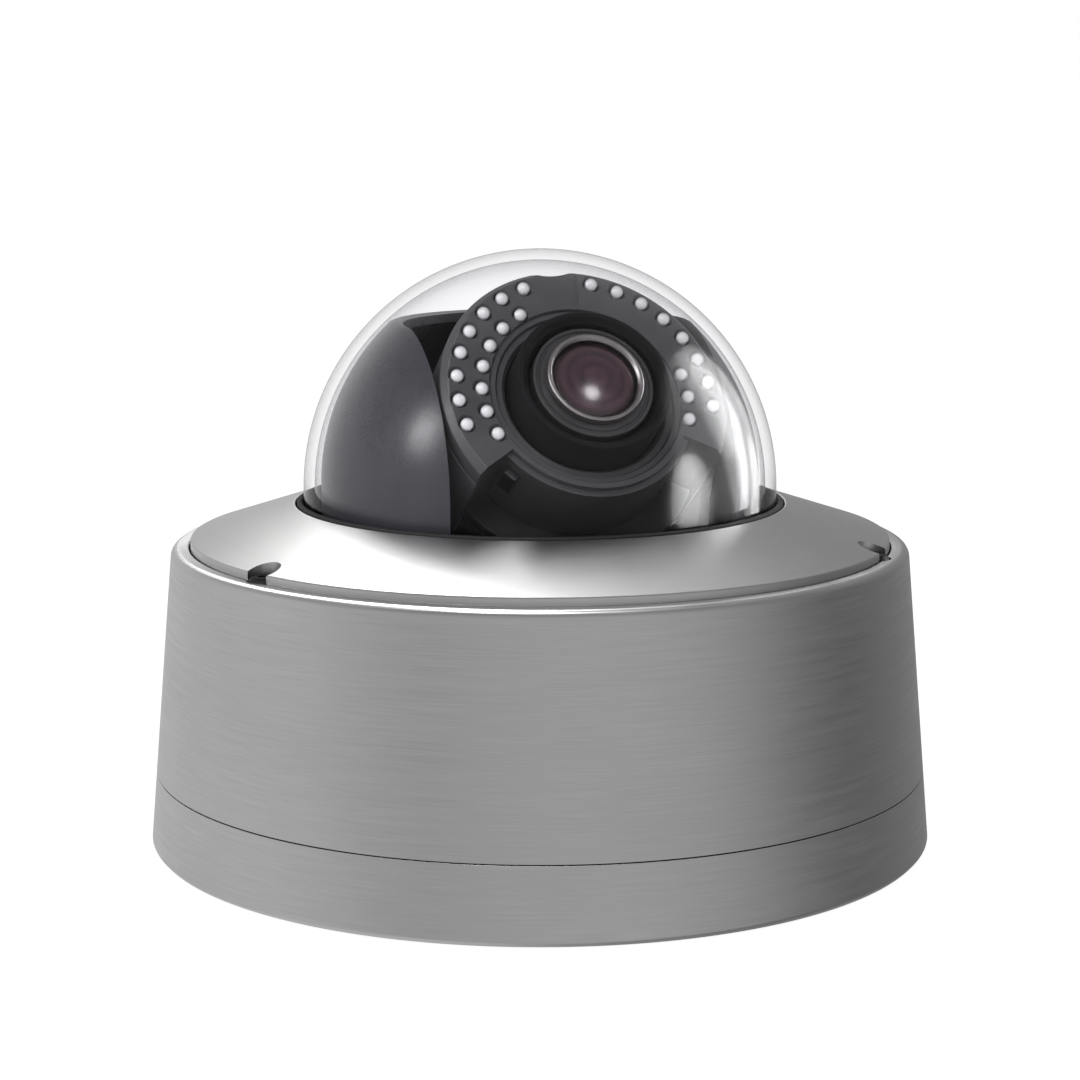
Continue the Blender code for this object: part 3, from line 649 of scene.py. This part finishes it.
# =============================================================== pan stage
table = turned("turntable_fine", [
    (9.0, 31.0, 0.3), (12.0, 31.0, 0.3), (12.0, 42.0, 0.5), (49.6, 42.0, 0.5), (49.6, 45.0, 0.5), (9.0, 45.0, 0.5)], 128, PAN_M)
cut(table, rods("table_holes", [(s * 26, 0, 1.7, 41, 46) for s in (-1, 1)], 24, PAN_M))
dress(table, "pan_stage", "black_plastic", M["black"], "turntable")
dress(turned("pan_retaining_ring_fine", ring(12.4, 16.0, 32.8, 34.6, 0.3), 64), "pan_stage", "zinc_steel", M["zinc"], "pan_retaining_ring")

yoke = block("yoke_fine", -35.7, 35.7, -14, 14, 45.3, 47.3, PAN_M)
for s in (-1, 1):
    x0, x1 = sorted((s * 33.2, s * 35.7))
    join(yoke, block("arm", x0, x1, -14, 14, 46.0, 82.0, PAN_M))
    join(yoke, turned("eye", rod(14.0, 33.2, 35.7), 48, PAN_M @ at(0, 0, PIVOT_Z) @ along((s, 0, 0))))
    cut(yoke, turned("eye_hole", rod(3.4, 30.0, 40.0), 32, PAN_M @ at(0, 0, PIVOT_Z) @ along((s, 0, 0))))
cut(yoke, rods("yoke_holes", [(s * 26, 0, 1.7, 44, 48) for s in (-1, 1)], 24, PAN_M))
cut(yoke, rods("yoke_wire_hole", [(0, 0, 9.0, 44, 48)], 48, PAN_M))
dress(soften(yoke, 0.25), "pan_stage", "zinc_steel", M["zinc"], "pan_yoke")
for k, s in enumerate((-1, 1), 1):
    b = turned("yoke_screw_fine_%d" % k, [(0, 42.5), (1.4, 42.5), (1.4, 47.6), (2.8, 47.6, 0.2), (2.8, 49.4, 0.7), (0, 49.4)], 32,
               PAN_M @ at(s * 26, 0))
    dress(b, "pan_stage", "zinc_steel", M["zinc"], "yoke_screw_%d" % k)


def cheek_profile(n=26):
    out = [(CHEEK_R - 2.0, CHEEK_FOOT), (CHEEK_R, CHEEK_FOOT), (CHEEK_R, PIVOT_Z)]
    h = CHEEK_TOP - PIVOT_Z
    top = math.asin(h / CHEEK_R) * 0.985
    for k in range(1, n + 1):
        a = top * k / n
        out.append((CHEEK_R * math.cos(a), PIVOT_Z + CHEEK_R * math.sin(a)))
    r_end = out[-1][0]
    out.append((r_end - 0.9, CHEEK_TOP - 0.05))
    out.append((r_end - 1.6, CHEEK_TOP))
    r = CHEEK_R - 2.0
    h2 = h - 2.0
    top2 = math.asin(h2 / r)
    out += [(20.0, CHEEK_TOP), (20.0, PIVOT_Z + h2)]
    for k in range(n, 0, -1):
        a = top2 * k / n
        out.append((r * math.cos(a), PIVOT_Z + r * math.sin(a)))
    out.append((r, PIVOT_Z))
    return out


for name, s in (("cheek_left", -1), ("cheek_right", 1)):
    bm = bmesh.new()
    turned_into(bm, cheek_profile(), 144, PAN_M)
    cheek = put(bm, name + "_fine")
    x0, x1 = sorted((s * SLOT, -s * 60))
    cut(cheek, block("slot_front", x0, x1, -60, SLOT_END, 40, 140, PAN_M))
    x0, x1 = sorted((s * 0.02, -s * 60))
    cut(cheek, block("other_half", x0, x1, SLOT_END - 1, 60, 40, 140, PAN_M))
    cut(cheek, turned("slot_back", rod(SLOT, 40, 140), 128, PAN_M @ at(0, SLOT_END)))
    dress(soften(cheek, 0.35, 3, 50), "pan_stage", "gloss_black", M["gloss"], name)

# ============================================================== tilt stage
ringt = turned("tilt_ring_fine", ring(23.1, 30.6, -11.5, 16.4, 0.8), 96, TILT_M)
for s in (-1, 1):
    cut(ringt, turned("trunnion_hole", rod(3.3, 26.5, 34.0), 32, TILT_M @ along((s, 0, 0))))
cut(ringt, turned("lock_hole", rod(1.8, 22.0, 34.0), 24, TILT_M @ at(0, 0, -6) @ along((0, 1, 0))))
dress(ringt, "tilt_stage", "black_plastic", M["black"], "tilt_ring")
dress(turned("tilt_pivot_pin_fine", [(0, 27.0), (3.0, 27.0, 0.3), (3.0, 36.2), (5.0, 36.2, 0.2), (5.0, 37.6, 0.5), (0, 37.6)], 48,
             TILT_M @ along((-1, 0, 0))), "tilt_stage", "zinc_steel", M["zinc"], "tilt_pivot_pin")
dress(turned("tilt_lock_screw_fine", [(0, 27.0), (3.0, 27.0, 0.3), (3.0, 36.2), (5.6, 36.2, 0.3), (5.6, 40.2, 0.6), (0, 40.2)], 48,
             TILT_M @ along((1, 0, 0))), "tilt_stage", "zinc_steel", M["zinc"], "tilt_lock_screw")
rl = turned("roll_lock_screw_fine", [(0, 23.6), (1.5, 23.6, 0.2), (1.5, 31.7), (2.6, 31.7, 0.2), (2.6, 33.0, 0.4), (0, 33.0)], 32,
            TILT_M @ at(0, 0, -6) @ along((0, 1, 0)))
dress(rl, "tilt_stage", "zinc_steel", M["zinc"], "roll_lock_screw")

# =================================================================== turret
dress(turned("turret_core_fine", [(20.5, -14.0, 0.3), (22.6, -14.0, 0.3), (22.6, 17.0, 0.5), (30.6, 17.0, 0.4), (30.6, 19.9, 0.4),
                                  (20.5, 19.9, 0.3)], 96, ROLL_M), "turret", "black_plastic", M["black"], "turret_core")
dress(turned("roll_retainer_fine", ring(22.95, 27.0, -15.0, -12.4, 0.4), 80, ROLL_M), "turret", "black_plastic", M["black"], "roll_retainer")
dress(turned("rear_cover_fine", ring(4.0, 22.0, -17.0, -14.3, 0.5), 80, ROLL_M), "turret", "black_plastic", M["black"], "rear_cover")

front = turned("turret_face", [
    (17.6, BACK_L), (WING_R - 1.1, BACK_L), (WING_R - 1.1, 33.0), (WING_R, 33.0, 0.15), (WING_R, 37.2, 0.8), (30.6, FACE_L, 0.5),
    (21.5, FACE_L, 0.3), (21.2, 38.1, 0.2), (20.0, 38.1, 0.2), (19.7, 37.3, 0.2), (18.4, 37.3, 0.2), (17.6, 36.5, 0.2)], 192, ROLL_M)
cut(front, prism("under_gap", sector(BARREL_R, 36.0, 90 + WING_TO, 450 - WING_TO, 60), SKIRT_L - 1, FACE_L + 2, ROLL_M))
for s in (-1, 1):
    a0, a1 = sorted((90 + s * (WING_FROM + 0.5), 90 + s * (WING_TO - 2.8)))
    cut(front, prism("wing_pocket", sector(20.6, 30.5, a0, a1, 48), BACK_L - 1, 36.6, ROLL_M))
cut(front, turned("top_notch", rod(13.0, 33.0, FACE_L + 2), 160, ROLL_M @ at(0, WING_R - 1.4 + 13.0)))
cut(front, prism("top_bridge", sector(22.2, 36.0, 90 - 9.5, 90 + 9.5, 12), FACE_L - 0.8, FACE_L + 2, ROLL_M))
cut(front, prism("lower_step", sector(22.8, 30.0, 90 + WING_TO, 450 - WING_TO, 60), FACE_L - 1.3, FACE_L + 2, ROLL_M))
LAMPS = {1: OUTER_ROW + INNER_ROW, -1: OUTER_ROW + INNER_ROW[4:]}
LEDS = {s: [polar(r, 90 + s * a) for r, a in LAMPS[s]] for s in (-1, 1)}
bm = bmesh.new()
for s in (-1, 1):
    for x, y in LEDS[s]:
        turned_into(bm, [(0, 35.0), (LED_R + 0.27, 35.0), (LED_R + 0.27, FACE_L - 0.45), (LED_R + 0.85, FACE_L + 0.1), (LED_R + 0.85, 41), (0, 41)],
                    20, ROLL_M @ at(x, y))
cut(front, put(bm, "lamp_holes"))
front_ob = dress(soften(front, 0.22, 2, 48), "turret", "black_plastic", M["face"], "turret_front")
skirt = turned("turret_skirt", [(WING_R - 1.1, SKIRT_L), (WING_R, SKIRT_L, 0.3), (WING_R, 32.85, 0.15), (WING_R - 1.1, 32.85)], 192, ROLL_M)
cut(skirt, prism("skirt_gap", sector(BARREL_R, 36.0, 90 + WING_TO, 450 - WING_TO, 60), SKIRT_L - 1, 34.0, ROLL_M))
# the skirt takes the lighter copy of the turret moulding: painted light
skirt_ob = dress(skirt, "turret", "black_plastic", M["skirt"])

for name, s in (("ir_board_left", 1), ("ir_board_right", -1)):
    a0, a1 = sorted((90 + s * (WING_FROM + 1.2), 90 + s * (WING_TO - 3.6)))
    pcb = prism(name + "_fine", sector(20.9, 30.2, a0, a1, 40), 33.2, 34.8, ROLL_M)
    dress(pcb, "turret", "board_black", M["led_board"], name)
    bm = bmesh.new()
    for x, y in LEDS[s]:
        p = [(0, 35.0), (LED_R + 0.15, 35.0), (LED_R + 0.15, 35.8), (LED_R, 35.8)]
        p += [(LED_R * math.cos(q * math.pi / 12), 38.6 + 1.4 * math.sin(q * math.pi / 12)) for q in range(6)] + [(0, 40.0)]
        turned_into(bm, p, 20, ROLL_M @ at(x, y))
    lamps = put(bm, name + "_lamps")
    dress(lamps, "turret", "board_black", M["lamp"])

barrel = turned("lens_barrel_fine", [
    (0, 10.0), (11.5, 10.0, 0.3), (11.5, 34.2), (13.4, 34.4), (13.4, 44.2, 0.4), (12.6, 44.2, 0.1), (12.4, 43.8), (12.0, 43.8), (11.8, 44.2, 0.1),
    (9.4, 44.2), (9.4, 42.0), (0, 42.0)], 96, ROLL_M)
dress(barrel, "turret", "black_plastic", M["barrel"], "lens_barrel")
dress(turned("lens_hood_fine", [
    (14.0, 34.6), (17.2, 34.6, 0.2), (17.2, 40.0, 0.5), (16.9, 45.4, 0.5), (15.8, 45.4, 0.4), (15.0, 44.2, 0.2), (14.6, 43.9, 0.1),
    (14.3, 42.6, 0.2), (14.0, 42.2, 0.1)], 96, ROLL_M), "turret", "black_rubber", M["hood"], "lens_hood")
dress(turned("lens_bezel_fine", [
    (9.4, 44.5), (10.7, 44.5, 0.2), (10.7, 46.3, 0.5), (9.9, 46.3, 0.3), (9.4, 45.6, 0.2)], 96, ROLL_M),
    "turret", "lens_metal", M["bezel"], "lens_bezel")
curve = [(0, 42.3), (9.1, 42.3), (9.1, 44.6)]
R_LENS = 26.0
for k in range(1, 13):
    r = 9.1 * (1 - k / 12)
    curve.append((r, 46.6 - (R_LENS - math.sqrt(R_LENS * R_LENS - r * r))))
curve[-1] = (0, 46.6)
bm = bmesh.new()
turned_into(bm, curve, 72, ROLL_M)
lens_ob = dress(put(bm, "front_element"), "turret", "lens_glass", M["glass"], "front_lens")
dress(turned("lens_mount_fine", ring(8.0, 19.8, 4.0, 9.7, 0.4), 64, ROLL_M), "turret", "black_plastic", M["black"], "lens_mount")

for name, body, z0, z1, lever in (("zoom_ring", "zoom", 12.8, 19.6, 45), ("focus_ring", "focus", 23.0, 31.0, 135)):
    bm = bmesh.new()
    turned_into(bm, rounded(ring(11.9, 15.6, z0, z1, 0.4)), 72, ROLL_M)
    g = put(bm, name + "_fine")
    ribs = bmesh.new()
    for q in range(24):
        turned_into(ribs, rod_pts(0.55, z0 + 1, z1 - 1), 8, ROLL_M @ Matrix.Rotation(math.radians(15 * q), 4, "Z") @ at(15.75, 0))
    cut(g, put(ribs, "ribs"))
    lx, ly = polar(15.6, lever)
    join(g, turned("lever", [(0, -1.2), (1.2, -1.2, 0.3), (1.2, 1.2, 0.3), (0, 1.2)], 24, ROLL_M @ at(lx, ly, (z0 + z1) / 2)))
    dress(g, body, "black_plastic", M["black"], name)

clip = prism("cable_clip_fine", sector(24.4, 26.0, 215.0, 222.0, 8), 29.0, 35.0, ROLL_M)
dress(soften(clip, 0.2), "turret", "zinc_steel", M["dark_screw"], "cable_clip")

# ------------------------------------------ carried-over CAD nodes, refinished
for node, mat in (("main_board", "green"), ("power_board", "green"), ("sensor_board", "green"), ("network_socket", "zinc"),
                  ("terminal_block", "terminal"), ("card_slot", "zinc"), ("reset_switch", "zinc"), ("reset_button", "button"),
                  ("memory_card", "black")):
    me = NODES[node].data
    if len(me.materials) == 0:
        me.materials.append(M[mat])
    for i in range(len(me.materials)):
        me.materials[i] = M[mat]

# ============================================================ floor and light
bm = bmesh.new()
bmesh.ops.create_circle(bm, cap_ends=True, radius=9.0, segments=96)
floor_me = bpy.data.meshes.new("floor")
bm.to_mesh(floor_me)
bm.free()
floor = bpy.data.objects.new("floor", floor_me)
floor.location = (0, 0, -0.0002)
bpy.context.scene.collection.objects.link(floor)
ft = Tree("pale_floor")
fn = ft.noise(ft.coords(), 6.0, 3.0)
ft.link(ft.colours(ft.span(fn, 0.0, 1.0, 0.3, 0.7), (0.78, 0.78, 0.78), (0.80, 0.80, 0.80)), ft.bsdf.inputs["Base Color"])
ft.set(Roughness=0.9)
ft.bsdf.inputs["Specular IOR Level"].default_value = 0.05
ft.bsdf.inputs["Emission Color"].default_value = (1, 1, 1, 1)
ft.bsdf.inputs["Emission Strength"].default_value = 0.80
floor_me.materials.append(ft.mat)
floor.visible_glossy = False

world = bpy.data.worlds.new("studio")
bpy.context.scene.world = world
world.use_nodes = True
wn = world.node_tree
bg = wn.nodes["Background"]


def wnode(kind, *ins, **props):
    n = wn.nodes.new(kind)
    for k, v in props.items():
        setattr(n, k, v)
    for i, v in enumerate(ins):
        if v is None:
            continue
        if isinstance(v, (int, float)):
            n.inputs[i].default_value = v
        else:
            wn.links.new(v, n.inputs[i])
    return n


# grey studio round the object: one tone for each compass direction (0 in front, 90 on the right)
ROOM = [(-180, .55), (-150, .74), (-122, .68), (-86, .71), (-64, .66), (-50, .55), (-35, .48), (-20, .53), (0, .58), (38, .58),
        (53, .49), (67, .38), (78, .26), (90, .17), (104, .15), (120, .22), (143, .30), (165, .34), (172, .45), (180, .55)]
direction = wnode("ShaderNodeTexCoord").outputs["Generated"]
sep = wnode("ShaderNodeSeparateXYZ", direction)
angle = wnode("ShaderNodeMath", sep.outputs[0], wnode("ShaderNodeMath", sep.outputs[1], -1.0, operation="MULTIPLY").outputs[0],
              operation="ARCTAN2").outputs[0]
fac = wnode("ShaderNodeMath", wnode("ShaderNodeMath", angle, 1.0 / (2 * math.pi), operation="MULTIPLY").outputs[0], 0.5,
            operation="ADD").outputs[0]
room = wn.nodes.new("ShaderNodeValToRGB")
while len(room.color_ramp.elements) < len(ROOM):
    room.color_ramp.elements.new(0.5)
for e, (az, tone) in zip(room.color_ramp.elements, ROOM):
    e.position = az / 360 + 0.5
    e.color = (tone, tone, tone, 1)
wn.links.new(fac, room.inputs[0])
up = wnode("ShaderNodeMapRange", sep.outputs[2], 0.25, 0.8, 0.0, 1.0)
ceiling = wnode("ShaderNodeMix", up.outputs["Result"], data_type="RGBA")
wn.links.new(room.outputs[0], ceiling.inputs[6])
ceiling.inputs[7].default_value = (0.32, 0.32, 0.32, 1)
wn.links.new(ceiling.outputs[2], bg.inputs[0])
bg.inputs[1].default_value = 1.0
white = wn.nodes.new("ShaderNodeBackground")
white.inputs[0].default_value = (1, 1, 1, 1)
white.inputs[1].default_value = 1.0
lp = wn.nodes.new("ShaderNodeLightPath")
mixw = wn.nodes.new("ShaderNodeMixShader")
wn.links.new(lp.outputs["Is Camera Ray"], mixw.inputs[0])
wn.links.new(bg.outputs[0], mixw.inputs[1])
wn.links.new(white.outputs[0], mixw.inputs[2])
wn.links.new(mixw.outputs[0], wn.nodes["World Output"].inputs["Surface"])


def softbox(name, az, el, dist, w, h, radiance, target=(0, 0, 0.07), tint=(1, 1, 1), only=None):
    """Rectangular lamp at an azimuth (0 in front, 90 on the right) and elevation."""
    light = bpy.data.lights.new(name, "AREA")
    light.shape = "ELLIPSE"
    light.size = w
    light.size_y = h
    light.energy = radiance * math.pi * w * h
    light.color = tint
    ob = bpy.data.objects.new(name, light)
    a, e = math.radians(az), math.radians(el)
    t = Vector(target)
    ob.location = t + Vector((math.sin(a) * math.cos(e), -math.cos(a) * math.cos(e), math.sin(e))) * dist
    ob.rotation_euler = (t - ob.location).to_track_quat("-Z", "Y").to_euler()
    ob.visible_camera = False
    bpy.context.scene.collection.objects.link(ob)
    if only:
        group = bpy.data.collections.new(name + "_receivers")
        for o in only:
            group.objects.link(o)
        ob.light_linking.receiver_collection = group
    return ob


pieces = [o for o in bpy.context.scene.objects if o.type == "MESH" and o is not floor]
metal = [o for o in pieces if o.data.materials and o.data.materials[0] in (M["steel"], M["steel_cover"], M["dark_screw"])]
inner = [o for o in pieces if o not in metal and o is not bubble_ob and o is not lens_ob]
cover_ob = [o for o in metal if o.data.materials[0] is M["steel_cover"]]
shell = [o for o in metal if o not in cover_ob]
softbox("back_left", -148, 45, 1.4, 0.70, 0.40, 4.6, only=shell)
softbox("over", -150, 64, 1.4, 0.70, 0.60, 8.0, only=shell)
softbox("above", -24, 76, 1.4, 0.60, 0.50, 5.0, only=shell)
softbox("cover_left", -166, 42, 1.4, 0.30, 0.44, 6.0, only=cover_ob)
softbox("cover_back", -172, 58, 1.4, 0.24, 0.44, 8.5, only=cover_ob)
softbox("front", -12, 44, 1.6, 1.0, 0.6, 3.2, only=inner)
softbox("left_strip", -68, 25, 1.2, 0.22, 0.34, 15.0, only=inner)
softbox("right_strip", 112, 20, 1.1, 0.40, 0.60, 6.5, only=[o for o in inner if o.data.materials[0] is not M["lamp"]] + [bubble_ob])
softbox("lens_glint", 36, 47, 1.4, 0.30, 0.30, 11.0, only=[lens_ob])
softbox("skirt_left", -42, 62, 1.2, 0.50, 0.50, 7.0, only=[skirt_ob, front_ob])
softbox("right_glow", 118, 14, 1.12, 0.50, 1.00, 6.5, only=[bubble_ob])
softbox("right_haze", 102, 16, 1.14, 1.20, 1.10, 3.0, only=[bubble_ob])
softbox("low_streak_front", 75, -2, 0.5, 0.17, 0.30, 25.0, only=[bubble_ob])
softbox("low_streak_back", 121, -3, 0.5, 0.08, 0.20, 9.0, only=[bubble_ob])

bpy.context.scene.view_settings.view_transform = "Standard"
